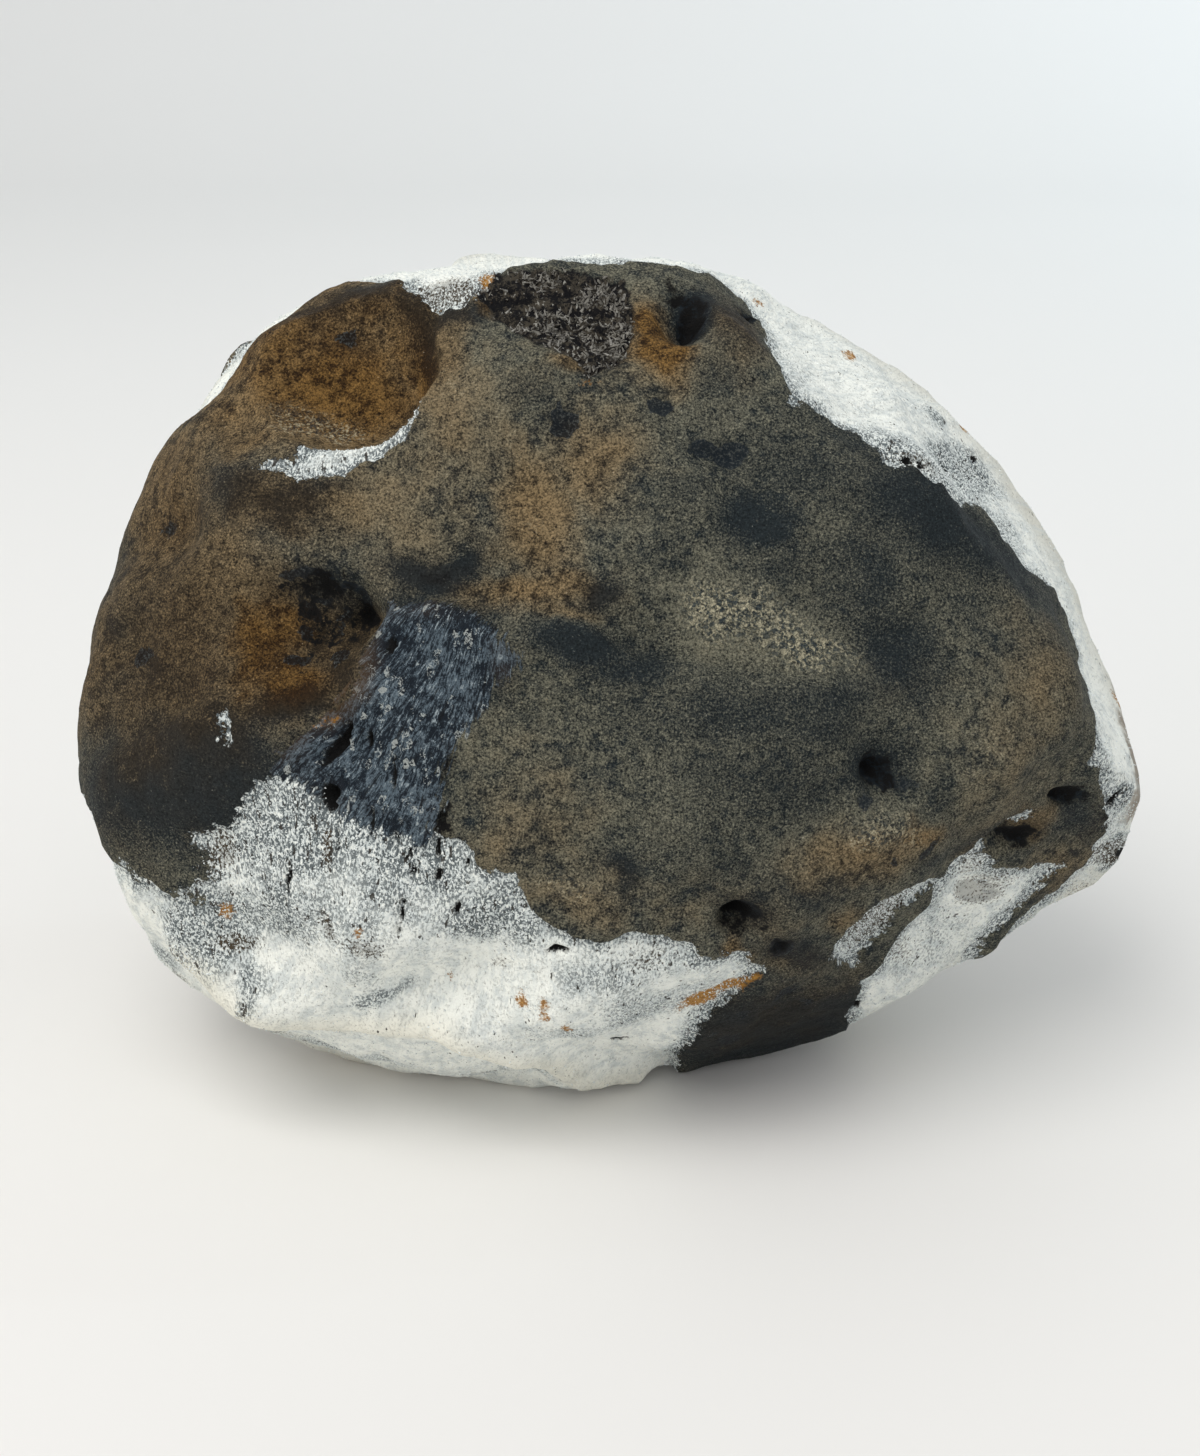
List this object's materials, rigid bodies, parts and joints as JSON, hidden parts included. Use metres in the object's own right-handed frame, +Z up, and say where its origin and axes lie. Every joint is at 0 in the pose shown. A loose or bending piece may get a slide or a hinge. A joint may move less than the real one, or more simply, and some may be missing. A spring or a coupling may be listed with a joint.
{
  "type": "quartz geode",
  "caption": "Closed quartz geode nodule with a dark pitted crust, broken back at the edges to a pale sugary body, lying on a small flat spot.",
  "frame": {"origin": "middle of the flat spot that the stone rests on", "axes": "+Z up from the flat spot, +X along the stone's length towards its pointed end, -Y towards the broad crusted face"},
  "size_m": [0.1316, 0.0872, 0.0992],
  "materials": {
    "stone": "matte natural stone, dark iron-stained crust over white sugary quartz"
  },
  "bodies": {
    "root": {"geode": "stone"}
  },
  "joints": []
}
